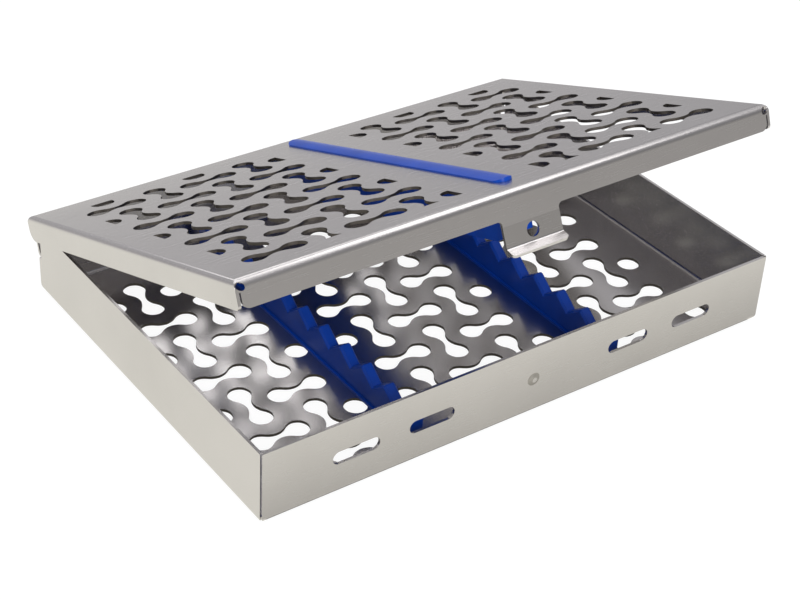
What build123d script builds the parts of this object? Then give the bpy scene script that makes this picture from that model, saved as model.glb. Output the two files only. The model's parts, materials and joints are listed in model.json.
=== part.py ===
"""Perforated sterilization cassette for dental instruments.

A folded stainless tray carries two notched silicone rails. A folded lid turns on a strip hinge along the rear
and carries a silicone hold-down bar. The origin is the middle of the tray's underside, X runs across the width,
-Y is the front with the catch, Z is up. Lengths are in millimetres. The lid is drawn closed and then turned
open by the rest opening, about the hinge's pin.
"""

import os
from math import atan2, ceil, cos, degrees, radians, sin, tan

from build123d import *

os.makedirs("parts", exist_ok=True)

# Tray
tray_width = 200.0
tray_depth = 142.6
tray_height = 26.0
sheet = 1.0
tray_bend = 2.5
wall_end_radius = 3.5
seam = 0.5
bend_relief = 0.5
corner_slit = 0.6
corner_cut = 2.0
rim_corner = 1.2

# Lid
side_gap = 0.4
front_gap = 0.6
rim_gap = 0.5
skirt_drop = 8.6
lid_bend = 2.6
lid_side_bend = 1.8
relief_hole = 2.3
relief_drop = 1.6
skirt_corner = 1.5
skirt_front_corner = 2.4
skirt_rear_corner = 4.0
rest_opening = 20.6

# Strip hinge along the rear
pin_radius = 1.0
running_fit = 0.05
leaf_sheet = 1.0
leaf_width = 5.0
leaf_corner = 2.0
curl_slit = 0.15
knuckle_count = 7
knuckle_gap = 0.3
knuckle_clearance = 0.35
weld_gap = 0.05
rear_wall_gap = 1.0
pin_chamfer = 0.25

# Catch at the middle of the front
tab_width = 21.8
tab_fillet = 1.5
tab_shoulder = 2.0
tab_spring = 5.0
tab_rim = 1.1
tab_bend = 0.8
lip_length = 3.4
lip_angle = 62.0
lip_corner = 1.4
catch_hole = 4.8
catch_drop = 5.3
boss_width = 4.7
boss_top = 1.8
boss_rise = 0.6

# Drain slots in the front wall
slot_length = 16.8
slot_width = 4.6
slot_pitch = 27.6
slot_margin = 33.1

# Dumbbell perforations, the same punch for tray and lid, with flats of up to this angle for round stretches
flat_angle = 45.0
lattice = 17.4
lobe = 7.9
lobe_spacing = 13.2
neck = 2.6

# Perforated fields of the floor, by their distance from the rails and the walls
side_row = -5.0
rail_margin_outer = 4.35
rail_margin_inner = 9.7
side_margin = 14.0
end_margin = 11.8

# Perforated fields of the lid, by their distance from the middle and the edges
lid_column = 27.1
lid_row = -5.5
lid_middle = 15.5
lid_side_margin = 11.4
lid_front_margin = 11.2
lid_rear_margin = 12.2

# Instrument rails
rail_x = 39.7
rail_width = 4.3
rail_end = 3.0
rail_margin = 6.5
foot_width = 5.7
foot_height = 1.0
notch_pitch = 12.3
crest_height = 12.2
notch_depth = 4.4
crest_flat = 0.5
tooth_bevel = 0.7
stud_radius = 1.5
stud_margin = 18.5
stud_count = 3
moulding_gap = 0.05

# Hold-down bar of the lid
bead_width = 6.8
bead_margin = 7.7
bead_rise = 1.3
bead_edge = 0.5
bar_width = 6.0
bar_drop = 18.2
bar_front_margin = 2.3
bar_rear_margin = 5.3
bar_flat_margin = 13.3
bar_chamfer_rise = 4.4
web_width = 3.0
web_margin = 21.6
web_bridge = 14.0
web_count = 3

# Places that follow from the sizes above
half_width = tray_width / 2
half_depth = tray_depth / 2
lid_top = tray_height + rim_gap + sheet
lid_under = lid_top - sheet
lid_half = half_width + side_gap + sheet
lid_front = -(half_depth + front_gap + sheet)
lid_rear = half_depth
skirt_bottom = lid_top - skirt_drop
catch_z = skirt_bottom - catch_drop
knuckle_radius = pin_radius + running_fit + leaf_sheet
hinge_y = half_depth + weld_gap + knuckle_radius
hinge_z = lid_top / 2
hinge_axis = Axis((0, hinge_y, hinge_z), (-1, 0, 0))
notch_count = int((tray_depth - 2 * rail_margin - 2 * rail_end) / notch_pitch)
rail_length = notch_count * notch_pitch + 2 * rail_end
stud_pitch = rail_length / 2 - stud_margin
bead_half = half_depth - bead_margin
web_pitch = bead_half - web_margin
web_length = web_pitch - web_bridge


def corners(centre_x, centre_y, radius, start, end):
    """Corners of the flats that stand in for an arc and touch it, so that a repeated hole has few facets."""
    steps = ceil(abs(end - start) / flat_angle)
    step = (end - start) / steps
    reach = radius / cos(radians(step / 2))
    angles = [radians(start + (place + 0.5) * step) for place in range(steps)]
    return [(centre_x + reach * cos(angle), centre_y + reach * sin(angle)) for angle in angles]


def dumbbell(x, y, along_y):
    """Two round lobes joined by a waisted neck, with its long axis along X or Y."""
    half = lobe_spacing / 2
    # The waist is an arc tangent to both lobes that leaves the neck's width at the middle.
    waist = (half**2 - (lobe / 2) ** 2 + (neck / 2) ** 2) / (lobe - neck)
    waist_y = waist + neck / 2
    touch = degrees(atan2(waist_y, half))
    outline = corners(half, 0, lobe / 2, touch - 180, 180 - touch)
    outline += corners(0, waist_y, waist, -touch, touch - 180)
    outline += corners(-half, 0, lobe / 2, touch, 360 - touch)
    outline += corners(0, -waist_y, waist, 180 - touch, touch)
    with BuildSketch() as punch:
        with BuildLine():
            Polyline(*outline, close=True)
        make_face()
    return punch.sketch.moved(Location((x, y, 0), (0, 0, 90 if along_y else 0)))


def round_hole(x, y):
    """A single hole as wide as a dumbbell's lobe."""
    with BuildSketch() as punch:
        RegularPolygon(lobe / 2, ceil(360 / flat_angle), major_radius=False)
    return punch.sketch.moved(Location((x, y, 0)))


def checkerboard(first_x, first_y, span_x, span_y):
    """Each place of the lattice that may reach into a field, and its column and row added up."""
    columns = range(ceil((span_x[0] - first_x) / lattice) - 1, ceil((span_x[1] - first_x) / lattice) + 1)
    rows = range(ceil((span_y[0] - first_y) / lattice) - 1, ceil((span_y[1] - first_y) / lattice) + 1)
    for column in columns:
        for row in rows:
            yield first_x + column * lattice, first_y + row * lattice, column + row


def floor_field(first_x, first_y, span_x, span_y):
    """Holes of one field of the floor, where a dumbbell that would leave the field keeps one round hole."""
    half = lobe_spacing / 2
    holes = []
    for x, y, count in checkerboard(first_x, first_y, span_x, span_y):
        along_y = count % 2 == 0
        ends = [(x, y - half), (x, y + half)] if along_y else [(x - half, y), (x + half, y)]
        inside = [
            end for end in ends if span_x[0] <= end[0] <= span_x[1] and span_y[0] <= end[1] <= span_y[1]
        ]
        if len(inside) == 2:
            holes.append(dumbbell(x, y, along_y))
        elif len(inside) == 1:
            holes.append(round_hole(*inside[0]))
    return holes


def fold(points, radius, side):
    """The section of a folded strip of sheet, from its outer line and the outer radius of its bends."""
    with BuildSketch() as section:
        with BuildLine():
            FilletPolyline(*points, radius=radius)
            offset(amount=sheet, side=side)
        make_face()
    return section.sketch


def boss_section(face_y):
    """Half the section of the catch's boss, a low cone with a flat top, standing proud of a wall's face."""
    with BuildSketch() as section:
        with BuildLine():
            Polyline(
                (face_y, catch_z),
                (face_y - boss_rise, catch_z),
                (face_y - boss_rise, catch_z + boss_top / 2),
                (face_y, catch_z + boss_width / 2),
                close=True,
            )
        make_face()
    return section.sketch


def opened(closed):
    """A piece of the lid, turned about the hinge axis to where the lid stands."""
    with BuildPart() as piece:
        add(closed.part.rotate(hinge_axis, rest_opening))
    return piece


def write(name, piece):
    """Labels a finished piece and writes it."""
    piece.part.label = name
    export_step(piece.part, f"parts/{name}.step")


# Tray, one side wall with its bend. Above the rear wall it stops short of the lid's rear skirt.
side_wall_inner = half_width - tray_bend - bend_relief
rear_wall_top = hinge_z - rear_wall_gap / 2
rear_step = half_depth - sheet - seam
with BuildPart() as side_wall:
    with BuildSketch(Plane.XZ):
        add(fold([(side_wall_inner, 0), (half_width, 0), (half_width, tray_height)], tray_bend, Side.LEFT))
    extrude(amount=half_depth, both=True)
    with BuildSketch(Plane.YZ) as side_outline:
        with BuildLine():
            Polyline(
                (-half_depth, 0),
                (half_depth, 0),
                (half_depth, rear_wall_top),
                (rear_step, rear_wall_top),
                (rear_step, tray_height),
                (-half_depth, tray_height),
                close=True,
            )
        make_face()
        fillet(side_outline.vertices().group_by(Axis.Y)[0], wall_end_radius)
        fillet(side_outline.vertices().group_by(Axis.Y)[-1], rim_corner)
    extrude(amount=half_width, mode=Mode.INTERSECT)

# Tray, the holes of the floor: a field outside each rail and one between the rails
rows_span = (end_margin - half_depth, half_depth - end_margin)
side_span = (rail_x + rail_margin_outer, half_width - side_margin)
middle_span = (rail_margin_inner - rail_x, rail_x - rail_margin_inner)
side_column = (side_span[0] + side_span[1] - lattice) / 2
side_holes = floor_field(side_column, side_row, side_span, rows_span)
middle_holes = floor_field(0, lattice / 2, middle_span, rows_span)

# Tray: front wall, floor and rear wall are one folded strip, and the side walls fold up from its edges
with BuildPart() as tray:
    with BuildSketch(Plane.YZ):
        add(
            fold(
                [(-half_depth, tray_height), (-half_depth, 0), (half_depth, 0), (half_depth, rear_wall_top)],
                tray_bend,
                Side.LEFT,
            )
        )
    extrude(amount=half_width, both=True)
    with BuildSketch(Plane.XZ) as wall_outline:
        with Locations((0, tray_height / 2)):
            Rectangle(tray_width, tray_height)
        fillet(wall_outline.vertices().group_by(Axis.Y)[0], wall_end_radius)
        fillet(wall_outline.vertices().group_by(Axis.Y)[-1], rim_corner)
    extrude(amount=half_depth, both=True, mode=Mode.INTERSECT)
    with BuildSketch(Plane.XY):
        with Locations((-half_width, 0), (half_width, 0)):
            Rectangle(2 * (tray_bend + bend_relief), tray_depth - 2 * sheet)
    extrude(amount=tray_height, mode=Mode.SUBTRACT)
    # The rear wall ends between the side walls and clears their bends
    with BuildSketch(Plane.XZ.offset(-half_depth)):
        with Locations((-half_width, 0), (half_width, 0)):
            Rectangle(2 * (sheet + seam), 2 * tray_height)
            Rectangle(2 * (tray_bend + bend_relief), 2 * (tray_bend + bend_relief))
    extrude(amount=sheet, mode=Mode.SUBTRACT)
    add(side_wall.part)
    add(mirror(side_wall.part, about=Plane.YZ, mode=Mode.PRIVATE))
    # The front corners are folded up and not welded, so a slit is left between the walls
    with BuildSketch(Plane.XY):
        for corner_x in (-1, 1):
            with Locations(Location((corner_x * half_width, -half_depth, 0), (0, 0, corner_x * -45))):
                Rectangle(2 * corner_cut, corner_slit)
    extrude(amount=tray_height, mode=Mode.SUBTRACT)
    with BuildSketch(Plane.XY):
        add(side_holes)
        mirror(about=Plane.YZ)
        add(middle_holes)
    extrude(amount=sheet, mode=Mode.SUBTRACT)
    # Holes for the studs that hold the rails down
    with BuildSketch(Plane.XY):
        with GridLocations(2 * rail_x, stud_pitch, 2, stud_count):
            Circle(stud_radius + moulding_gap)
    extrude(amount=sheet, mode=Mode.SUBTRACT)
    # Drain slots, two on each side of the catch
    with BuildSketch(Plane.XZ.offset(half_depth)):
        for outward in (-1, 1):
            outer_slot = outward * (half_width - slot_margin)
            with Locations((outer_slot, catch_z), (outer_slot - outward * slot_pitch, catch_z)):
                SlotOverall(slot_length, slot_width)
    extrude(amount=-sheet, mode=Mode.SUBTRACT)
    # The catch's boss is pressed out of the wall, so it is hollow behind
    boss_axis = Axis((0, 0, catch_z), (0, 1, 0))
    with BuildSketch(Plane.YZ):
        add(boss_section(-half_depth))
    revolve(axis=boss_axis)
    with BuildSketch(Plane.YZ):
        add(boss_section(-half_depth + sheet))
    revolve(axis=boss_axis, mode=Mode.SUBTRACT)
write("tray", tray)

# Lid, one side skirt with its bend: its ends show at the front and the rear
side_skirt_inner = lid_half - lid_side_bend - bend_relief
with BuildPart() as side_skirt:
    with BuildSketch(Plane.XZ.offset(-lid_rear)):
        outer_line = [(side_skirt_inner, lid_top), (lid_half, lid_top), (lid_half, skirt_bottom)]
        add(fold(outer_line, lid_side_bend, Side.RIGHT))
    extrude(amount=lid_rear - lid_front)
    with BuildSketch(Plane.YZ) as skirt_outline:
        with Locations(((lid_front + lid_rear) / 2, (lid_top + skirt_bottom) / 2)):
            Rectangle(lid_rear - lid_front, lid_top - skirt_bottom)
        fillet(skirt_outline.vertices().group_by(Axis.Y)[-1], lid_bend)
        fillet(skirt_outline.vertices().group_by(Axis.Y)[0].sort_by(Axis.X)[0], skirt_corner)
        fillet(skirt_outline.vertices().group_by(Axis.Y)[0].sort_by(Axis.X)[-1], skirt_rear_corner)
    extrude(amount=lid_half, mode=Mode.INTERSECT)

# Lid, the spring tab of the catch with its finger lip
tab_bottom = catch_z - catch_hole / 2 - tab_rim
tab_start = skirt_bottom - tab_shoulder
tab_end = (lid_front - (tab_start - tab_bottom) * tan(radians(tab_spring)), tab_bottom)
lip_end = (
    tab_end[0] - lip_length * sin(radians(lip_angle)),
    tab_end[1] - lip_length * cos(radians(lip_angle)),
)
with BuildPart() as tab:
    with BuildSketch(Plane.YZ):
        tab_line = [(lid_front, skirt_bottom + sheet), (lid_front, tab_start), tab_end, lip_end]
        add(fold(tab_line, tab_bend, Side.LEFT))
    extrude(amount=tab_width / 2, both=True)
    fillet(tab.faces().sort_by(Axis.Y)[0].edges().filter_by(Axis.X, reverse=True), lip_corner)

# Lid: front skirt, top and rear skirt are one folded strip, and the rear skirt reaches down to the hinge
with BuildPart() as lid_closed:
    with BuildSketch(Plane.YZ):
        add(
            fold(
                [
                    (lid_front, skirt_bottom),
                    (lid_front, lid_top),
                    (lid_rear, lid_top),
                    (lid_rear, hinge_z + rear_wall_gap / 2),
                ],
                lid_bend,
                Side.RIGHT,
            )
        )
    extrude(amount=lid_half, both=True)
    with BuildSketch(Plane.XZ) as lid_outline:
        with Locations((0, lid_top)):
            Rectangle(2 * lid_half, lid_top, align=(Align.CENTER, Align.MAX))
        fillet(lid_outline.vertices().group_by(Axis.Y)[-1], lid_side_bend)
    extrude(amount=half_depth + lid_bend, both=True, mode=Mode.INTERSECT)
    # The side skirts fold down at the ends of the top, so the strip is cut back there
    with BuildSketch(Plane.XY.offset(lid_under - lid_bend)):
        with Locations((-lid_half, (lid_front + lid_rear) / 2), (lid_half, (lid_front + lid_rear) / 2)):
            Rectangle(2 * (lid_side_bend + bend_relief), lid_rear - lid_front - 2 * sheet)
    extrude(amount=2 * lid_bend, mode=Mode.SUBTRACT)
    # The front and rear skirts end a seam short of the side skirts
    with BuildSketch(Plane.XZ):
        with Locations((-lid_half, lid_under - lid_bend), (lid_half, lid_under - lid_bend)):
            Rectangle(2 * (sheet + seam), lid_top, align=(Align.CENTER, Align.MAX))
    extrude(amount=half_depth + lid_bend, both=True, mode=Mode.SUBTRACT)
    front_skirt_ends = lid_closed.edges().filter_by(Axis.Y).group_by(Axis.Y)[0]
    fillet(front_skirt_ends.group_by(Axis.Z)[0], skirt_front_corner)
    add(side_skirt.part)
    add(mirror(side_skirt.part, about=Plane.YZ, mode=Mode.PRIVATE))
    # Relief holes at the top of the corner seams, drilled aslant towards the middle
    for corner_x in (-1, 1):
        for corner_y, edge_y in ((-1, lid_front), (1, lid_rear)):
            towards = Vector(corner_x, corner_y, 1)
            seam_top = Vector(corner_x * (lid_half - sheet - seam), edge_y, lid_top - relief_drop)
            with BuildSketch(Plane(origin=seam_top - towards * lid_bend, z_dir=towards)):
                Circle(relief_hole / 2)
            extrude(amount=4 * lid_bend, mode=Mode.SUBTRACT)
    # The spring tab hangs from the front skirt, with rounded corners beside it
    add(tab.part)
    tab_roots = lid_closed.edges().filter_by(Axis.Y).filter_by_position(Axis.Z, skirt_bottom, skirt_bottom)
    fillet(tab_roots.filter_by_position(Axis.X, -tab_width / 2, tab_width / 2), tab_fillet)
    with BuildSketch(Plane.XZ.offset(-lid_front)):
        with Locations((0, catch_z)):
            Circle(catch_hole / 2)
    extrude(amount=2 * sheet, both=True, mode=Mode.SUBTRACT)
    # The two perforated fields are cut off straight at their borders
    field_x = (lid_middle, lid_half - lid_side_margin)
    field_y = (lid_front + lid_front_margin, lid_rear - lid_rear_margin)
    with BuildSketch(Plane.XY.offset(lid_under)):
        for x, y, count in checkerboard(lid_column, lid_row, field_x, field_y):
            add(dumbbell(x, y, count % 2 == 1))
        with Locations((sum(field_x) / 2, sum(field_y) / 2)):
            Rectangle(field_x[1] - field_x[0], field_y[1] - field_y[0], mode=Mode.INTERSECT)
        mirror(about=Plane.YZ)
    extrude(amount=sheet, mode=Mode.SUBTRACT)
    # Slots for the webs of the hold-down bar
    with BuildSketch(Plane.XY.offset(lid_under)):
        with GridLocations(1, web_pitch, 1, web_count):
            Rectangle(web_width + 2 * moulding_gap, web_length + 2 * moulding_gap)
    extrude(amount=sheet, mode=Mode.SUBTRACT)
write("lid", opened(lid_closed))

# Instrument rail: a row of V notches over a wider foot, with studs moulded through the floor
crest_z = sheet + crest_height
valley_z = crest_z - notch_depth
end_z = crest_z - rail_end * 2 * notch_depth / notch_pitch
with BuildPart() as rail:
    with BuildSketch(Plane.YZ):
        with BuildLine():
            ridge = [(-rail_length / 2, end_z)]
            for tooth in range(notch_count + 1):
                tooth_y = (tooth - notch_count / 2) * notch_pitch
                ridge += [(tooth_y - crest_flat / 2, crest_z), (tooth_y + crest_flat / 2, crest_z)]
                if tooth < notch_count:
                    ridge.append((tooth_y + notch_pitch / 2, valley_z))
            ridge.append((rail_length / 2, end_z))
            Polyline(*ridge, (rail_length / 2, sheet), (-rail_length / 2, sheet), close=True)
        make_face()
    extrude(amount=rail_width / 2, both=True)
    # Both flanks of the teeth are bevelled
    flank_edges = rail.faces().filter_by(Axis.X).edges().filter_by(Axis.Z, reverse=True)
    chamfer(flank_edges.filter_by_position(Axis.Z, sheet, crest_z, inclusive=(False, True)), tooth_bevel)
    with BuildSketch(Plane.XY.offset(sheet)):
        Rectangle(foot_width, rail_length)
    extrude(amount=foot_height)
    with BuildSketch(Plane.XY):
        with GridLocations(1, stud_pitch, 1, stud_count):
            Circle(stud_radius)
    extrude(amount=sheet)

for name, place_x in (("rail_left", -rail_x), ("rail_right", rail_x)):
    with BuildPart() as placed_rail:
        add(rail.part.moved(Location((place_x, 0, 0))))
    write(name, placed_rail)

# Hold-down bar: a crowned bead on the lid, webs through its slots and a deep blade below
with BuildPart() as bar_closed:
    with BuildSketch(Plane.XY.offset(lid_top)):
        SlotOverall(2 * bead_half, bead_width, rotation=90)
    extrude(amount=bead_rise)
    with BuildSketch(Plane.XZ):
        with BuildLine():
            crown = ThreePointArc(
                (-bead_width / 2, lid_top + bead_edge),
                (0, lid_top + bead_rise),
                (bead_width / 2, lid_top + bead_edge),
            )
            Polyline(crown @ 1, (bead_width / 2, lid_top), (-bead_width / 2, lid_top), crown @ 0)
        make_face()
    extrude(amount=bead_half, both=True, mode=Mode.INTERSECT)
    with BuildSketch(Plane.XY.offset(lid_under)):
        with GridLocations(1, web_pitch, 1, web_count):
            Rectangle(web_width, web_length)
    extrude(amount=sheet)
    bar_bottom = lid_under - bar_drop
    bar_flat = half_depth - bar_flat_margin
    with BuildSketch(Plane.YZ):
        with BuildLine():
            Polyline(
                (bar_front_margin - half_depth, lid_under),
                (bar_front_margin - half_depth, bar_bottom + bar_chamfer_rise),
                (-bar_flat, bar_bottom),
                (bar_flat, bar_bottom),
                (half_depth - bar_rear_margin, bar_bottom + bar_chamfer_rise),
                (half_depth - bar_rear_margin, lid_under),
                close=True,
            )
        make_face()
    extrude(amount=bar_width / 2, both=True)
write("hold_down_bar", opened(bar_closed))

# Strip hinge: two leaves with interleaved knuckles, rolled from the leaf's own sheet
leaf_half = half_width - sheet - seam
knuckle_length = (2 * leaf_half - (knuckle_count - 1) * knuckle_gap) / knuckle_count
knuckle_step = knuckle_length + knuckle_gap
leaf_front = hinge_y - knuckle_radius


def hinge_leaf(up, first):
    """A leaf above the axis (up is 1) or below it (up is -1), with every second knuckle from the first."""
    centres = [(knuckle - (knuckle_count - 1) / 2) * knuckle_step for knuckle in range(knuckle_count)]
    own = centres[first::2]
    others = centres[1 - first :: 2]
    with BuildPart() as leaf:
        with BuildSketch(Plane.XZ.offset(-leaf_front)) as plate:
            with Locations((0, hinge_z + up * leaf_width / 2)):
                Rectangle(2 * leaf_half, leaf_width)
            fillet(plate.vertices().group_by(Axis.Y)[-1 if up > 0 else 0], leaf_corner)
        extrude(amount=-leaf_sheet)
        # The plate is cut back beside the other leaf's knuckles
        with BuildSketch(Plane.XZ.offset(-leaf_front)):
            with Locations(*[(x, hinge_z) for x in others]):
                Rectangle(knuckle_length + 2 * knuckle_gap, 2 * (knuckle_radius + knuckle_clearance))
        extrude(amount=-leaf_sheet, mode=Mode.SUBTRACT)
        for x in own:
            with BuildSketch(Plane.YZ.offset(x)):
                with Locations((hinge_y, hinge_z)):
                    Circle(knuckle_radius)
            extrude(amount=knuckle_length / 2, both=True)
        with BuildSketch(Plane.YZ):
            with Locations((hinge_y, hinge_z)):
                Circle(pin_radius + running_fit)
            # The curl ends a slit away from the plate
            with Locations((leaf_front + leaf_sheet + curl_slit / 2, hinge_z + up * knuckle_radius / 2)):
                Rectangle(curl_slit, knuckle_radius)
        extrude(amount=half_width, both=True, mode=Mode.SUBTRACT)
    return leaf


write("hinge_leaf_tray", hinge_leaf(-1, 0))
write("hinge_leaf_lid", opened(hinge_leaf(1, 1)))

# Hinge pin, as long as the leaves
with BuildPart() as hinge_pin:
    with BuildSketch(Plane.YZ.offset(-leaf_half)):
        with Locations((hinge_y, hinge_z)):
            Circle(pin_radius)
    extrude(amount=2 * leaf_half)
    chamfer(hinge_pin.edges().filter_by(GeomType.CIRCLE), pin_chamfer)
write("hinge_pin", hinge_pin)
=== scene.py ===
import json
import math

import bpy
from mathutils import Matrix, Vector

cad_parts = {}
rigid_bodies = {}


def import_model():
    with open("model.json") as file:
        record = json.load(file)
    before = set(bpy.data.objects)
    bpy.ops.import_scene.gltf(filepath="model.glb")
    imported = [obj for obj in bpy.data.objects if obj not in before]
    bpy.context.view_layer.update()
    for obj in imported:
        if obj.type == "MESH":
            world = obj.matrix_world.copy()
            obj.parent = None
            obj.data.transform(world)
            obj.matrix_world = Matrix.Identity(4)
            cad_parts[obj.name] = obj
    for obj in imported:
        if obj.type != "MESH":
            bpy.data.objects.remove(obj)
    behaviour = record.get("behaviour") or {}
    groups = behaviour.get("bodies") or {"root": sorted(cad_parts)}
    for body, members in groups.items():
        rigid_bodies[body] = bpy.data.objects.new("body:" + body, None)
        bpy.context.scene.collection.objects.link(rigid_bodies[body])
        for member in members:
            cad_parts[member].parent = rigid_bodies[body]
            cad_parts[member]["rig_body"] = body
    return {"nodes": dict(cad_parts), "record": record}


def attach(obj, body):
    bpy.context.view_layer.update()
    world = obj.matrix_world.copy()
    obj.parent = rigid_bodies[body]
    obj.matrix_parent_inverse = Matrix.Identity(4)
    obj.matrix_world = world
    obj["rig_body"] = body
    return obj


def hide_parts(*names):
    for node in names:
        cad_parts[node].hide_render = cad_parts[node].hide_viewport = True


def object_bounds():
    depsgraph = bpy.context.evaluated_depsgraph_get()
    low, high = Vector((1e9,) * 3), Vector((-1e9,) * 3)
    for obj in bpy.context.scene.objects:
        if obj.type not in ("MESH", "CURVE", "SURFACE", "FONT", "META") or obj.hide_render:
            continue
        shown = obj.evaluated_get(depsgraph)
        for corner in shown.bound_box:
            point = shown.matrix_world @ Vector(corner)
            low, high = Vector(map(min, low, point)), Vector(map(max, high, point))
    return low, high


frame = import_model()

bl_info = {
    "name": "Sterilization cassette",
    "version": (1, 0, 0),
    "blender": (4, 5, 0),
    "location": "View3D > Sidebar > Cassette",
    "description": "Dresses a folded steel instrument cassette with silicone rails and sets its studio",
    "category": "Object",
}

CAD_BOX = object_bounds()
HINGE = frame["record"]["behaviour"]["joints"][0]
# The lid stands open by as much as its joint can still close
LID_TILT = -math.radians(HINGE["range_deg"][0])

# Vertices of a CAD mesh that are closer than this are one vertex
WELD_DISTANCE = 0.000002
# Triangles that meet at less than this are one flat face
FLAT_ANGLE = math.radians(0.2)
# Two flats of a punched hole meet at more than the first of these and less than the second
FLATS_LEAST = math.radians(25)
FLATS_MOST = math.radians(60)
# Corners sharper than this are broken
BROKEN_ANGLE = math.radians(40)
# Faces that meet at less than this look smooth
SMOOTH_ANGLE = math.radians(38)
# A face lies across a direction if its normal's share in that direction is below this
ACROSS = 0.3
# A face looks in a direction if its normal's share in that direction is above this
ALONG = 0.9
# A face is square to a direction if its normal's share in that direction is at least this
SQUARE_ON = 0.99
# Material slots of a folded sheet
PUNCHED_IN_SHADE, FLOOR, BOSS_SLOPE_SHADE = 1, 2, 3


class CassetteSteel(bpy.types.PropertyGroup):
    """Sizes and colours of the stainless sheet"""

    colour: bpy.props.FloatVectorProperty(
        name="Colour",
        description="Reflectance of the brushed sheet",
        default=(0.585, 0.561, 0.556),
        min=0.0,
        max=1.0,
        size=3,
        subtype="COLOR",
    )
    roughness: bpy.props.FloatProperty(
        name="Roughness", description="Mean roughness of the brushed faces", default=0.26, min=0.0, max=1.0
    )
    punched_edge: bpy.props.FloatProperty(
        name="Punched edge",
        description="Width of the broken edge round every hole and rim",
        default=0.0001,
        min=0.0,
        unit="LENGTH",
    )
    hinge_edge: bpy.props.FloatProperty(
        name="Hinge edge",
        description="Width of the broken edge on leaves, knuckles and pin",
        default=0.0001,
        min=0.0,
        unit="LENGTH",
    )
    floor_roughness: bpy.props.FloatProperty(
        name="Floor roughness",
        description="Mean roughness of the tray's floor, which mirrors the lid",
        default=0.2,
        min=0.0,
        max=1.0,
    )
    sheet: bpy.props.FloatProperty(
        name="Sheet", description="Thickness of the sheet", default=0.001, min=0.0001, unit="LENGTH"
    )
    # The hole walls' colour is painted shade: far darker than the sheet, standing for the shade inside the
    # holes
    cut_shade_colour: bpy.props.FloatVectorProperty(
        name="Cut colour",
        description="Reflectance of the punched walls of the holes",
        default=(0.12, 0.107, 0.097),
        min=0.0,
        max=1.0,
        size=3,
        subtype="COLOR",
    )
    # The boss's slope colour is painted shade: darker than the sheet, so that the boss shows as a dark ring
    boss_shade_colour: bpy.props.FloatVectorProperty(
        name="Rubbed colour",
        description="Reflectance of the boss's slopes, where the catch rubs",
        default=(0.37, 0.35, 0.33),
        min=0.0,
        max=1.0,
        size=3,
        subtype="COLOR",
    )
    hinge_roughness: bpy.props.FloatProperty(
        name="Hinge roughness",
        description="Mean roughness of the rolled leaves",
        default=0.36,
        min=0.0,
        max=1.0,
    )
    pin_roughness: bpy.props.FloatProperty(
        name="Pin roughness", description="Mean roughness of the drawn pin", default=0.24, min=0.0, max=1.0
    )
    dull_roughness: bpy.props.FloatProperty(
        name="Dull roughness",
        description="Roughness of punched and boss steel in painted shade",
        default=0.45,
        min=0.0,
        max=1.0,
    )
    boss_rise: bpy.props.FloatProperty(
        name="Boss rise",
        description="How far the catch's boss stands out from the front wall",
        default=0.0006,
        min=0.0,
        unit="LENGTH",
    )
    grain_pitch: bpy.props.FloatProperty(
        name="Grain pitch",
        description="Mean spacing of the brush lines, across them",
        default=0.00035,
        min=0.00001,
        unit="LENGTH",
    )
    grain_length: bpy.props.FloatProperty(
        name="Grain length",
        description="Mean length of the brush lines",
        default=0.012,
        min=0.0001,
        unit="LENGTH",
    )


class CassetteSilicone(bpy.types.PropertyGroup):
    """Sizes and colours of the silicone mouldings"""

    rail_colour: bpy.props.FloatVectorProperty(
        name="Rail colour",
        description="Colour of the notched rails",
        default=(0.001, 0.038, 0.3),
        min=0.0,
        max=1.0,
        size=3,
        subtype="COLOR",
    )
    # The bar's colour is the rails' silicone painted lighter, as painted light for the light that falls on
    # the bar
    bar_colour_painted_lighter: bpy.props.FloatVectorProperty(
        name="Bar colour",
        description="Colour of the hold-down bar",
        default=(0.003, 0.06, 0.44),
        min=0.0,
        max=1.0,
        size=3,
        subtype="COLOR",
    )
    roughness: bpy.props.FloatProperty(
        name="Roughness", description="Mean roughness of the moulded faces", default=0.34, min=0.0, max=1.0
    )
    soft_edge: bpy.props.FloatProperty(
        name="Soft edge",
        description="Radius that the mould leaves on every edge",
        default=0.00025,
        min=0.0,
        unit="LENGTH",
    )


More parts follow.
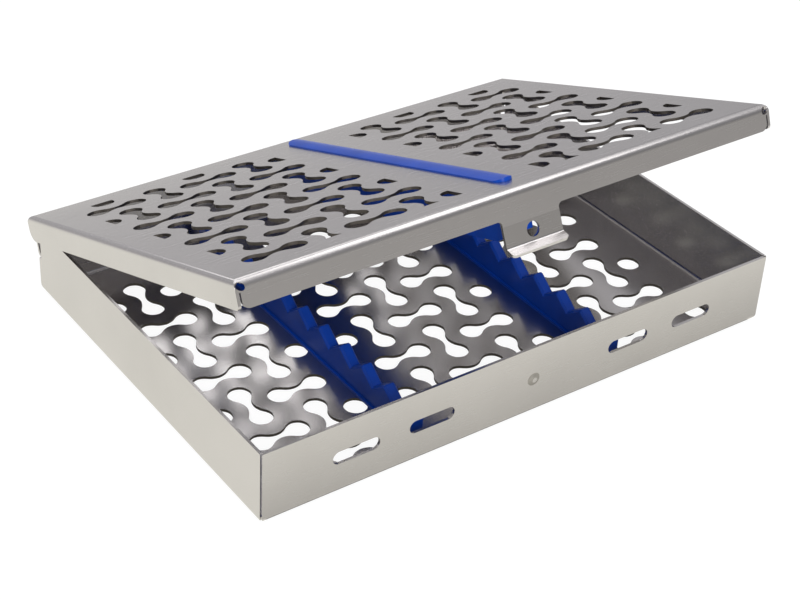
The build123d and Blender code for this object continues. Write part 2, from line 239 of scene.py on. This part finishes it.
class CassetteStage(bpy.types.PropertyGroup):
    """Floor, light and camera"""

    floor_size: bpy.props.FloatProperty(
        name="Floor size", description="Side of the pale floor", default=6.0, min=0.5, unit="LENGTH"
    )
    glow_share: bpy.props.FloatProperty(
        name="Glow share",
        description="Share of its own glow in the floor's brightness",
        default=0.8,
        min=0.0,
        max=1.0,
    )
    camera_glow: bpy.props.FloatProperty(
        name="Camera glow", description="Strength of the floor's glow to the camera", default=1.12, min=0.0
    )
    near_glow: bpy.props.FloatProperty(
        name="Near glow", description="Strength of the near floor in the steel", default=1.15, min=0.0
    )
    far_glow: bpy.props.FloatProperty(
        name="Far glow", description="Strength of the far floor in the steel", default=0.5, min=0.0
    )
    near_middle: bpy.props.FloatVectorProperty(
        name="Near middle",
        description="Middle of the near floor",
        default=(-0.06, -0.1, 0.0),
        size=3,
        subtype="TRANSLATION",
        unit="LENGTH",
    )
    near_reach: bpy.props.FloatProperty(
        name="Near reach", description="Radius of the near floor", default=0.24, min=0.0, unit="LENGTH"
    )
    far_reach: bpy.props.FloatProperty(
        name="Far reach",
        description="Radius from which the floor is far",
        default=0.46,
        min=0.0,
        unit="LENGTH",
    )
    near_tint: bpy.props.FloatVectorProperty(
        name="Near tint",
        description="Tint of the near floor in the steel",
        default=(1.0, 0.995, 0.9),
        min=0.0,
        max=1.0,
        size=3,
        subtype="COLOR",
    )
    far_tint: bpy.props.FloatVectorProperty(
        name="Far tint",
        description="Tint of the far floor in the steel",
        default=(1.0, 0.98, 1.0),
        min=0.0,
        max=1.0,
        size=3,
        subtype="COLOR",
    )
    # Painted shadow: the floor that the steel mirrors is darkened by place under the tray and just in front
    # of it, not by a cast shadow
    painted_under_shade: bpy.props.FloatProperty(
        name="Under shade",
        description="Share of light kept off the floor under the tray",
        default=0.75,
        min=0.0,
        max=1.0,
    )
    painted_shade_margin: bpy.props.FloatProperty(
        name="Under margin",
        description="How far inside the object's box that shade starts",
        default=0.004,
        min=0.0,
        unit="LENGTH",
    )
    painted_contact_light: bpy.props.FloatProperty(
        name="Contact light",
        description="Share of light left on the floor right before the tray",
        default=0.62,
        min=0.0,
        max=1.0,
    )
    painted_contact_reach: bpy.props.FloatProperty(
        name="Contact reach",
        description="How far in front of the tray its shadow reaches",
        default=0.035,
        min=0.0,
        unit="LENGTH",
    )
    bright_side: bpy.props.FloatVectorProperty(
        name="Bright side",
        description="Where the studio is brightest",
        default=(-0.1, 0.5, 0.86),
        size=3,
        subtype="DIRECTION",
    )
    front_light: bpy.props.FloatVectorProperty(
        name="Front light",
        description="The studio's light low in front",
        default=(0.49, 0.485, 0.455),
        min=0.0,
        size=3,
        subtype="COLOR",
    )
    half_up_light: bpy.props.FloatVectorProperty(
        name="Half up light",
        description="The studio's light half up in front, where it is darkest",
        default=(0.24, 0.24, 0.25),
        min=0.0,
        size=3,
        subtype="COLOR",
    )
    rear_light: bpy.props.FloatVectorProperty(
        name="Rear light",
        description="The studio's light up behind",
        default=(0.8, 0.8, 0.82),
        min=0.0,
        size=3,
        subtype="COLOR",
    )
    eye: bpy.props.FloatVectorProperty(
        name="Eye",
        description="Where the camera stands",
        default=(-0.30799, -0.40563, 0.34811),
        size=3,
        subtype="TRANSLATION",
        unit="LENGTH",
    )
    forward: bpy.props.FloatVectorProperty(
        name="Forward",
        description="The way the camera looks",
        default=(0.50568, 0.67137, -0.54180),
        size=3,
        subtype="DIRECTION",
    )
    right: bpy.props.FloatVectorProperty(
        name="Right",
        description="The way that is right in the picture",
        default=(0.81589, -0.57626, 0.04743),
        size=3,
        subtype="DIRECTION",
    )
    lens: bpy.props.FloatProperty(
        name="Lens", description="Focal length in millimetres", default=80.71, min=10.0
    )
    shift: bpy.props.FloatVectorProperty(
        name="Shift",
        description="How far the picture's centre lies from the lens axis, in widths",
        default=(0.0037, -0.055),
        size=2,
    )


def deselect_all():
    """Nothing stays selected, and the view is in object mode."""
    if bpy.context.object and bpy.context.object.mode != "OBJECT":
        bpy.ops.object.mode_set(mode="OBJECT")
    bpy.ops.object.select_all(action="DESELECT")


def make_active(piece):
    """Only this piece is selected, and it is the active one."""
    deselect_all()
    piece.select_set(True)
    bpy.context.view_layer.objects.active = piece


def mark_faces(piece, slot, test):
    """Gives the faces that pass a test another material slot."""
    for face in piece.data.polygons:
        if test(face):
            face.material_index = slot


def in_outer_sheet(piece, outward, sheet):
    """A test for faces across the sheet, such as hole walls, in the layer that lies outermost."""
    depths = [vertex.co.dot(outward) for vertex in piece.data.vertices]
    # A little more than one thickness, so that the sheet's inner face still counts
    inner = max(depths) - sheet * 1.01

    def test(face):
        across = abs(face.normal.dot(outward)) < ACROSS
        return across and all(depths[vertex] > inner for vertex in face.vertices)

    return test


def apply_modifier(piece, kind, **settings):
    """Adds a modifier with these settings and applies it."""
    modifier = piece.modifiers.new(kind.lower(), kind)
    for setting, value in settings.items():
        setattr(modifier, setting, value)
    bpy.ops.object.modifier_apply(modifier=modifier.name)


def round_holes(piece, outward, sheet):
    """Puts an arc over each corner of a punched hole, from the middle of one flat to the next."""
    in_wall = in_outer_sheet(piece, outward, sheet)
    beside = {}
    for face in piece.data.polygons:
        if in_wall(face):
            for key in face.edge_keys:
                beside.setdefault(key, []).append(face.normal.copy())
    weights = piece.data.attributes.new("bevel_weight_edge", "FLOAT", "EDGE")
    for edge in piece.data.edges:
        normals = beside.get(edge.key, ())
        if len(normals) == 2 and FLATS_LEAST < normals[0].angle(normals[1]) < FLATS_MOST:
            weights.data[edge.index].value = 1.0
    apply_modifier(piece, "BEVEL", limit_method="WEIGHT", offset_type="PERCENT", width_pct=49.0, segments=3)
    piece.data.attributes.remove(piece.data.attributes["bevel_weight_edge"])


def refined_copy(node, name, edge, segments, punched=None):
    """A closed copy of a CAD node with broken edges and smooth bends, which stands for the node."""
    source = frame["nodes"][node]
    piece = bpy.data.objects.new(name, source.data.copy())
    bpy.context.scene.collection.objects.link(piece)
    piece.data.materials.clear()
    make_active(piece)
    bpy.ops.object.mode_set(mode="EDIT")
    bpy.ops.mesh.select_all(action="SELECT")
    bpy.ops.mesh.customdata_custom_splitnormals_clear()
    bpy.ops.mesh.remove_doubles(threshold=WELD_DISTANCE)
    bpy.ops.mesh.dissolve_limited(angle_limit=FLAT_ANGLE)
    bpy.ops.object.mode_set(mode="OBJECT")
    if punched:
        round_holes(piece, *punched)
    breaking = {"limit_method": "ANGLE", "angle_limit": BROKEN_ANGLE, "width": edge, "segments": segments}
    apply_modifier(piece, "BEVEL", **breaking)
    bpy.ops.object.shade_smooth_by_angle(angle=SMOOTH_ANGLE)
    apply_modifier(piece, "WEIGHTED_NORMAL", keep_sharp=True, weight=80)
    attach(piece, source["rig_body"])
    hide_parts(node)
    return piece


def dress_sheet(piece, faces, outward, sheet):
    """Brushed steel on the faces of a folded sheet, and on its hole walls a duller steel that is darkened
    as painted shade.
    """
    piece.data.materials.append(faces)
    # The hole walls get a far darker steel as painted shade
    piece.data.materials.append(shaded_dull_material("hole wall steel in painted shade", bpy.context.scene.cassette_steel.cut_shade_colour))
    mark_faces(piece, PUNCHED_IN_SHADE, in_outer_sheet(piece, outward, sheet))


def new_tree(name, inputs, outputs):
    """A shader node group with named sockets, and its first and last node."""
    tree = bpy.data.node_groups.new(name, "ShaderNodeTree")
    for socket, kind, value in inputs:
        made = tree.interface.new_socket(socket, in_out="INPUT", socket_type=kind)
        if value is not None:
            made.default_value = value
    for socket, kind in outputs:
        tree.interface.new_socket(socket, in_out="OUTPUT", socket_type=kind)
    return tree, tree.nodes.new("NodeGroupInput"), tree.nodes.new("NodeGroupOutput")


def feed(tree, socket, value):
    """Links another socket to a socket, or sets it to a plain value."""
    if isinstance(value, bpy.types.NodeSocket):
        tree.links.new(value, socket)
    else:
        socket.default_value = value


def math_node(tree, operation, first, second=None):
    """A math node fed by sockets or plain numbers."""
    node = tree.nodes.new("ShaderNodeMath")
    node.operation = operation
    feed(tree, node.inputs[0], first)
    if second is not None:
        feed(tree, node.inputs[1], second)
    return node.outputs[0]


def map_range(tree, value, span, result=(0.0, 1.0)):
    """Maps a value from one span to another, and no further than its ends."""
    node = tree.nodes.new("ShaderNodeMapRange")
    node.inputs["From Min"].default_value, node.inputs["From Max"].default_value = span
    node.inputs["To Min"].default_value, node.inputs["To Max"].default_value = result
    tree.links.new(value, node.inputs["Value"])
    return node.outputs["Result"]


def mix(tree, kind, factor, first, second):
    """Mixes two numbers, of kind FLOAT, or two colours, of kind RGBA, each a socket or a plain value."""
    node = tree.nodes.new("ShaderNodeMix")
    node.data_type = kind
    tree.links.new(factor, node.inputs["Factor"])
    feed(tree, node.inputs["A"], first)
    feed(tree, node.inputs["B"], second)
    return node.outputs["Result"]


def bump(tree, height, strength, distance):
    """A normal from a height."""
    node = tree.nodes.new("ShaderNodeBump")
    node.inputs["Strength"].default_value = strength
    node.inputs["Distance"].default_value = distance
    tree.links.new(height, node.inputs["Height"])
    return node.outputs["Normal"]


def brush_grain_group():
    """Brush lines: noise drawn out along one axis, as a height and as a change of roughness."""
    found = bpy.data.node_groups.get("brush grain")
    if found:
        return found
    tree, start, end = new_tree(
        "brush grain",
        [
            ("Vector", "NodeSocketVector", None),
            ("Across", "NodeSocketFloat", 1.0),
            ("Along", "NodeSocketFloat", 0.02),
            ("Roughness", "NodeSocketFloat", 0.3),
            ("Variation", "NodeSocketFloat", 0.1),
        ],
        [("Height", "NodeSocketFloat"), ("Roughness", "NodeSocketFloat")],
    )
    stretch = tree.nodes.new("ShaderNodeCombineXYZ")
    tree.links.new(start.outputs["Along"], stretch.inputs["X"])
    tree.links.new(start.outputs["Across"], stretch.inputs["Y"])
    tree.links.new(start.outputs["Across"], stretch.inputs["Z"])
    scaled = tree.nodes.new("ShaderNodeVectorMath")
    scaled.operation = "MULTIPLY"
    tree.links.new(start.outputs["Vector"], scaled.inputs[0])
    tree.links.new(stretch.outputs[0], scaled.inputs[1])
    lines = tree.nodes.new("ShaderNodeTexNoise")
    lines.inputs["Scale"].default_value = 1.0
    lines.inputs["Detail"].default_value = 3.0
    lines.inputs["Roughness"].default_value = 0.65
    tree.links.new(scaled.outputs[0], lines.inputs["Vector"])
    tree.links.new(lines.outputs["Fac"], end.inputs["Height"])
    centred = math_node(tree, "SUBTRACT", lines.outputs["Fac"], 0.5)
    varied = math_node(tree, "MULTIPLY", centred, start.outputs["Variation"])
    tree.links.new(math_node(tree, "ADD", start.outputs["Roughness"], varied), end.inputs["Roughness"])
    return tree


def cloud_group():
    """Broad soft patches, such as handling and rolling leave, as a factor from 0 to 1."""
    found = bpy.data.node_groups.get("soft clouds")
    if found:
        return found
    tree, start, end = new_tree(
        "soft clouds",
        [("Vector", "NodeSocketVector", None), ("Scale", "NodeSocketFloat", 30.0)],
        [("Factor", "NodeSocketFloat")],
    )
    clouds = tree.nodes.new("ShaderNodeTexNoise")
    clouds.inputs["Detail"].default_value = 4.0
    clouds.inputs["Roughness"].default_value = 0.55
    tree.links.new(start.outputs["Vector"], clouds.inputs["Vector"])
    tree.links.new(start.outputs["Scale"], clouds.inputs["Scale"])
    # Noise seldom goes past these two values
    tree.links.new(map_range(tree, clouds.outputs["Fac"], (0.3, 0.7)), end.inputs["Factor"])
    return tree


def use_group(material, group, **values):
    """Places a node group in a material, with its plain values."""
    node = material.node_tree.nodes.new("ShaderNodeGroup")
    node.node_tree = group
    for socket, value in values.items():
        node.inputs[socket].default_value = value
    return node


def new_material(name):
    """An empty node material and its Principled shader."""
    material = bpy.data.materials.new(name)
    material.use_nodes = True
    shader = next(node for node in material.node_tree.nodes if node.type == "BSDF_PRINCIPLED")
    return material, shader


def object_coordinates(tree, tilt=0.0):
    """Object coordinates, tilted about X as the sheet is."""
    place = tree.nodes.new("ShaderNodeTexCoord")
    mapping = tree.nodes.new("ShaderNodeMapping")
    mapping.vector_type = "POINT"
    mapping.inputs["Rotation"].default_value = (tilt, 0.0, 0.0)
    tree.links.new(place.outputs["Object"], mapping.inputs["Vector"])
    return mapping.outputs["Vector"]


def patchy_colour(material, place, colour, other, scale):
    """A colour that drifts to another one in broad patches."""
    clouds = use_group(material, cloud_group(), Scale=scale)
    material.node_tree.links.new(place, clouds.inputs["Vector"])
    return mix(material.node_tree, "RGBA", clouds.outputs["Factor"], (*colour, 1.0), (*other, 1.0))


def steel_material(name, roughness, tilt=0.0):
    """Brushed stainless sheet, with brush lines along X."""
    steel = bpy.context.scene.cassette_steel
    material, shader = new_material(name)
    tree = material.node_tree
    place = object_coordinates(tree, tilt)
    grain = use_group(
        material,
        brush_grain_group(),
        Across=1.0 / steel.grain_pitch,
        Along=1.0 / steel.grain_length,
        Roughness=roughness,
        Variation=0.09,
    )
    tree.links.new(place, grain.inputs["Vector"])
    darker = [channel * 0.93 for channel in steel.colour]
    tint = patchy_colour(material, place, steel.colour, darker, scale=28.0)
    tree.links.new(tint, shader.inputs["Base Color"])
    shader.inputs["Metallic"].default_value = 1.0
    tree.links.new(grain.outputs["Roughness"], shader.inputs["Roughness"])
    normal = bump(tree, grain.outputs["Height"], strength=0.03, distance=0.00004)
    tree.links.new(normal, shader.inputs["Normal"])
    return material


def shaded_dull_material(name, colour):
    """Steel without brush lines, in a given colour that is painted shade, on the walls that the punch
    leaves and on the boss's slopes.
    """
    found = bpy.data.materials.get(name)
    if found:
        return found
    material, shader = new_material(name)
    shader.inputs["Base Color"].default_value = (*colour, 1.0)
    shader.inputs["Metallic"].default_value = 1.0
    shader.inputs["Roughness"].default_value = bpy.context.scene.cassette_steel.dull_roughness
    return material


def silicone_material(name, colour):
    """Moulded silicone: deep colour, soft gloss and a fine skin."""
    roughness = bpy.context.scene.cassette_silicone.roughness
    material, shader = new_material(name)
    tree = material.node_tree
    place = object_coordinates(tree)
    paler = [min(1.0, channel * 1.25) for channel in colour]
    tint = patchy_colour(material, place, colour, paler, scale=90.0)
    tree.links.new(tint, shader.inputs["Base Color"])
    skin = tree.nodes.new("ShaderNodeTexNoise")
    skin.inputs["Scale"].default_value = 2200.0
    skin.inputs["Detail"].default_value = 2.0
    tree.links.new(place, skin.inputs["Vector"])
    drift = 0.06
    varied = map_range(tree, skin.outputs["Fac"], (0.0, 1.0), (roughness - drift, roughness + drift))
    tree.links.new(varied, shader.inputs["Roughness"])
    normal = bump(tree, skin.outputs["Fac"], strength=0.15, distance=0.00003)
    tree.links.new(normal, shader.inputs["Normal"])
    shader.inputs["IOR"].default_value = 1.35
    return material


class CASSETTE_OT_tray(bpy.types.Operator):
    """Dresses the folded tray in brushed steel"""

    bl_idname = "cassette.tray"
    bl_label = "Tray"

    def execute(self, context):
        steel = context.scene.cassette_steel
        punched = Vector((0.0, 0.0, -1.0)), steel.sheet
        tray = refined_copy("tray", "tray_sheet", steel.punched_edge, 2, punched)
        dress_sheet(tray, steel_material("tray brushed steel", steel.roughness), *punched)
        tray.data.materials.append(steel_material("tray floor steel", steel.floor_roughness))
        mark_faces(tray, FLOOR, lambda face: face.normal.z > ALONG and face.center.z < 2.0 * steel.sheet)
        # The catch's boss is the only form in front of the front wall, and its slopes get a duller steel
        # darkened as painted shade
        tray.data.materials.append(shaded_dull_material("boss steel in painted shade", steel.boss_shade_colour))
        boss_front = min(vertex.co.y for vertex in tray.data.vertices)
        # Just short of the wall's own face
        boss_foot = boss_front + 0.98 * steel.boss_rise
        mark_faces(tray, BOSS_SLOPE_SHADE, lambda face: face.center.y < boss_foot and face.normal.y > -SQUARE_ON)
        return {"FINISHED"}


class CASSETTE_OT_lid(bpy.types.Operator):
    """Dresses the folded lid in brushed steel"""

    bl_idname = "cassette.lid"
    bl_label = "Lid"

    def execute(self, context):
        steel = context.scene.cassette_steel
        punched = Vector((0.0, math.sin(LID_TILT), math.cos(LID_TILT))), steel.sheet
        lid = refined_copy("lid", "lid_sheet", steel.punched_edge, 2, punched)
        dress_sheet(lid, steel_material("lid brushed steel", steel.roughness, LID_TILT), *punched)
        return {"FINISHED"}


class CASSETTE_OT_rails(bpy.types.Operator):
    """Dresses the two notched rails in blue silicone"""

    bl_idname = "cassette.rails"
    bl_label = "Rails"

    def execute(self, context):
        silicone = context.scene.cassette_silicone
        material = silicone_material("rail silicone", tuple(silicone.rail_colour))
        for side in ("left", "right"):
            rail = refined_copy(f"rail_{side}", f"notched_rail_{side}", silicone.soft_edge, 3)
            rail.data.materials.append(material)
        return {"FINISHED"}


class CASSETTE_OT_hold_down_bar(bpy.types.Operator):
    """Dresses the lid's hold-down bar in blue silicone"""

    bl_idname = "cassette.hold_down_bar"
    bl_label = "Hold-down bar"

    def execute(self, context):
        silicone = context.scene.cassette_silicone
        bar = refined_copy("hold_down_bar", "pressing_bar", silicone.soft_edge, 3)
        # The bar's lighter colour is painted light
        bar.data.materials.append(silicone_material("bar silicone painted lighter", tuple(silicone.bar_colour_painted_lighter)))
        return {"FINISHED"}


class CASSETTE_OT_hinge(bpy.types.Operator):
    """Dresses the leaves and the pin of the strip hinge"""

    bl_idname = "cassette.hinge"
    bl_label = "Hinge"

    def execute(self, context):
        steel = context.scene.cassette_steel
        rolled = steel_material("rolled hinge steel", steel.hinge_roughness)
        drawn = steel_material("drawn pin steel", steel.pin_roughness)
        for node, name, slot, material in (
            ("hinge_leaf_tray", "tray_leaf", "hinge_steel", rolled),
            ("hinge_leaf_lid", "lid_leaf", "hinge_steel", rolled),
            ("hinge_pin", "pin_wire", "pin_steel", drawn),
        ):
            piece = refined_copy(node, name, steel.hinge_edge, 1)
            piece.data.materials.append(material)
        return {"FINISHED"}


def floor_in_steel(tree):
    """Strength and tint of the floor in the steel: warm near by, grey far off, and with painted shadow
    under the tray and just in front of it.
    """
    stage = bpy.context.scene.cassette_stage
    place = tree.nodes.new("ShaderNodeTexCoord").outputs["Object"]
    distance = tree.nodes.new("ShaderNodeVectorMath")
    distance.operation = "DISTANCE"
    distance.inputs[1].default_value = stage.near_middle
    tree.links.new(place, distance.inputs[0])
    far = map_range(tree, distance.outputs["Value"], (stage.near_reach, stage.far_reach))
    strength = mix(tree, "FLOAT", far, stage.near_glow, stage.far_glow)
    tint = mix(tree, "RGBA", far, (*stage.near_tint, 1.0), (*stage.far_tint, 1.0))
    apart = tree.nodes.new("ShaderNodeSeparateXYZ")
    tree.links.new(place, apart.inputs[0])
    # Painted shade under the tray, in the floor as the steel mirrors it
    under = stage.painted_under_shade
    for axis, reach in (("X", CAD_BOX[1][0]), ("Y", CAD_BOX[1][1])):
        off_middle = math_node(tree, "ABSOLUTE", apart.outputs[axis])
        inside = math_node(tree, "LESS_THAN", off_middle, reach - stage.painted_shade_margin)
        under = math_node(tree, "MULTIPLY", inside, under)
    strength = math_node(tree, "MULTIPLY", strength, math_node(tree, "SUBTRACT", 1.0, under))
    # Painted shadow of the tray, just in front of it, in the floor as the steel mirrors it
    front = CAD_BOX[0][1]
    shadow = (front, front - stage.painted_contact_reach)
    contact = map_range(tree, apart.outputs["Y"], shadow, (stage.painted_contact_light, 1.0))
    behind = math_node(tree, "GREATER_THAN", apart.outputs["Y"], front)
    strength = math_node(tree, "MULTIPLY", strength, math_node(tree, "MAXIMUM", contact, behind))
    return strength, tint


def floor_material():
    """A white floor that keeps the object's shadow, and that the steel mirrors as a studio table."""
    stage = bpy.context.scene.cassette_stage
    material, shader = new_material("white floor")
    tree = material.node_tree
    shader.inputs["Base Color"].default_value = (0.86, 0.86, 0.86, 1.0)
    shader.inputs["Roughness"].default_value = 0.9
    path = tree.nodes.new("ShaderNodeLightPath")
    mirrored = path.outputs["Is Glossy Ray"]
    seen = math_node(tree, "MAXIMUM", path.outputs["Is Camera Ray"], path.outputs["Is Transmission Ray"])
    seen = math_node(tree, "MAXIMUM", seen, mirrored)
    strength, tint = floor_in_steel(tree)
    glow = tree.nodes.new("ShaderNodeEmission")
    tree.links.new(mix(tree, "FLOAT", mirrored, stage.camera_glow, strength), glow.inputs["Strength"])
    tree.links.new(mix(tree, "RGBA", mirrored, (1.0, 1.0, 1.0, 1.0), tint), glow.inputs["Color"])
    both = tree.nodes.new("ShaderNodeMixShader")
    tree.links.new(math_node(tree, "MULTIPLY", seen, stage.glow_share), both.inputs["Fac"])
    tree.links.new(shader.outputs[0], both.inputs[1])
    tree.links.new(glow.outputs[0], both.inputs[2])
    output = next(node for node in tree.nodes if node.type == "OUTPUT_MATERIAL")
    tree.links.new(both.outputs[0], output.inputs["Surface"])
    return material


def studio_world():
    """White to the camera; for light and reflections, darkest half up in front and brightest up behind."""
    stage = bpy.context.scene.cassette_stage
    world = bpy.data.worlds.new("studio")
    bpy.context.scene.world = world
    world.use_nodes = True
    tree = world.node_tree
    place = tree.nodes.new("ShaderNodeTexCoord")
    towards = tree.nodes.new("ShaderNodeVectorMath")
    towards.operation = "DOT_PRODUCT"
    towards.inputs[1].default_value = Vector(stage.bright_side).normalized()
    tree.links.new(place.outputs["Generated"], towards.inputs[0])
    ramp = tree.nodes.new("ShaderNodeValToRGB")
    stops = ramp.color_ramp.elements
    stops[0].position = 0.28
    stops.new(0.53)
    for stop, colour in zip(stops, (stage.front_light, stage.half_up_light, stage.rear_light)):
        stop.color = (*colour, 1.0)
    tree.links.new(map_range(tree, towards.outputs["Value"], (-1.0, 1.0)), ramp.inputs["Fac"])
    path = tree.nodes.new("ShaderNodeLightPath")
    white = (1.0, 1.0, 1.0, 1.0)
    sky = mix(tree, "RGBA", path.outputs["Is Camera Ray"], ramp.outputs["Color"], white)
    background = next(node for node in tree.nodes if node.type == "BACKGROUND")
    tree.links.new(sky, background.inputs["Color"])
    background.inputs["Strength"].default_value = 1.0


def area_lamp(name, place, size, watts):
    """A soft lamp that looks at the object."""
    data = bpy.data.lights.new(name, "AREA")
    data.shape = "RECTANGLE"
    data.size, data.size_y = size
    data.energy = watts
    lamp = bpy.data.objects.new(name, data)
    bpy.context.scene.collection.objects.link(lamp)
    lamp.location = place
    lamp.rotation_euler = (-Vector(place)).to_track_quat("-Z", "Y").to_euler()


def photo_camera():
    """The camera that looks at the object as the photo does."""
    stage = bpy.context.scene.cassette_stage
    forward = Vector(stage.forward).normalized()
    right = Vector(stage.right).normalized()
    up = right.cross(forward)
    data = bpy.data.cameras.new("camera")
    data.sensor_width = 36.0
    data.lens = stage.lens
    data.shift_x, data.shift_y = stage.shift
    camera = bpy.data.objects.new("camera", data)
    bpy.context.scene.collection.objects.link(camera)
    turn = Matrix((right, up, -forward)).transposed().to_4x4()
    camera.matrix_world = Matrix.Translation(stage.eye) @ turn
    bpy.context.scene.camera = camera


class CASSETTE_OT_stage(bpy.types.Operator):
    """Makes the floor, the light and the camera"""

    bl_idname = "cassette.stage"
    bl_label = "Stage"

    def execute(self, context):
        deselect_all()
        size = context.scene.cassette_stage.floor_size
        bpy.ops.mesh.primitive_plane_add(size=size, location=(0.0, 0.0, 0.0))
        floor = context.object
        floor.name = "floor"
        floor.data.materials.append(floor_material())
        studio_world()
        for name, place, size, watts in (
            ("overhead strip", (0.6, 0.12, 1.05), (0.9, 0.26), 1.9),
            ("front softbox", (-0.4, -1.2, 0.8), (0.8, 0.8), 12.0),
            ("rear softbox", (0.337, 1.037, 0.708), (0.65, 0.37), 1.35),
        ):
            area_lamp(name, place, size, watts)
        photo_camera()
        context.scene.view_settings.view_transform = "Standard"
        return {"FINISHED"}


class CASSETTE_PT_panel(bpy.types.Panel):
    """Lists the steps in the sidebar of the 3D view"""

    bl_idname = "CASSETTE_PT_panel"
    bl_label = "Sterilization cassette"
    bl_space_type = "VIEW_3D"
    bl_region_type = "UI"
    bl_category = "Cassette"

    def draw(self, context):
        scene = context.scene
        for group in (scene.cassette_steel, scene.cassette_silicone, scene.cassette_stage):
            box = self.layout.box()
            for name in group.bl_rna.properties.keys():
                if name not in ("rna_type", "name"):
                    box.prop(group, name)
        for step in STEPS:
            self.layout.operator(step.bl_idname)


GROUPS = (CassetteSteel, CassetteSilicone, CassetteStage)
STEPS = (
    CASSETTE_OT_tray,
    CASSETTE_OT_lid,
    CASSETTE_OT_rails,
    CASSETTE_OT_hold_down_bar,
    CASSETTE_OT_hinge,
    CASSETTE_OT_stage,
)


def register():
    """Registers the classes and their settings."""
    for cls in (*GROUPS, *STEPS, CASSETTE_PT_panel):
        bpy.utils.register_class(cls)
    bpy.types.Scene.cassette_steel = bpy.props.PointerProperty(type=CassetteSteel)
    bpy.types.Scene.cassette_silicone = bpy.props.PointerProperty(type=CassetteSilicone)
    bpy.types.Scene.cassette_stage = bpy.props.PointerProperty(type=CassetteStage)


def unregister():
    """Takes the settings and the classes away again."""
    del bpy.types.Scene.cassette_steel
    del bpy.types.Scene.cassette_silicone
    del bpy.types.Scene.cassette_stage
    for cls in (CASSETTE_PT_panel, *reversed(STEPS), *reversed(GROUPS)):
        bpy.utils.unregister_class(cls)


def main():
    """Makes every piece in order."""
    register()
    for step in STEPS:
        group, name = step.bl_idname.split(".")
        getattr(getattr(bpy.ops, group), name)()


if __name__ == "__main__":
    main()
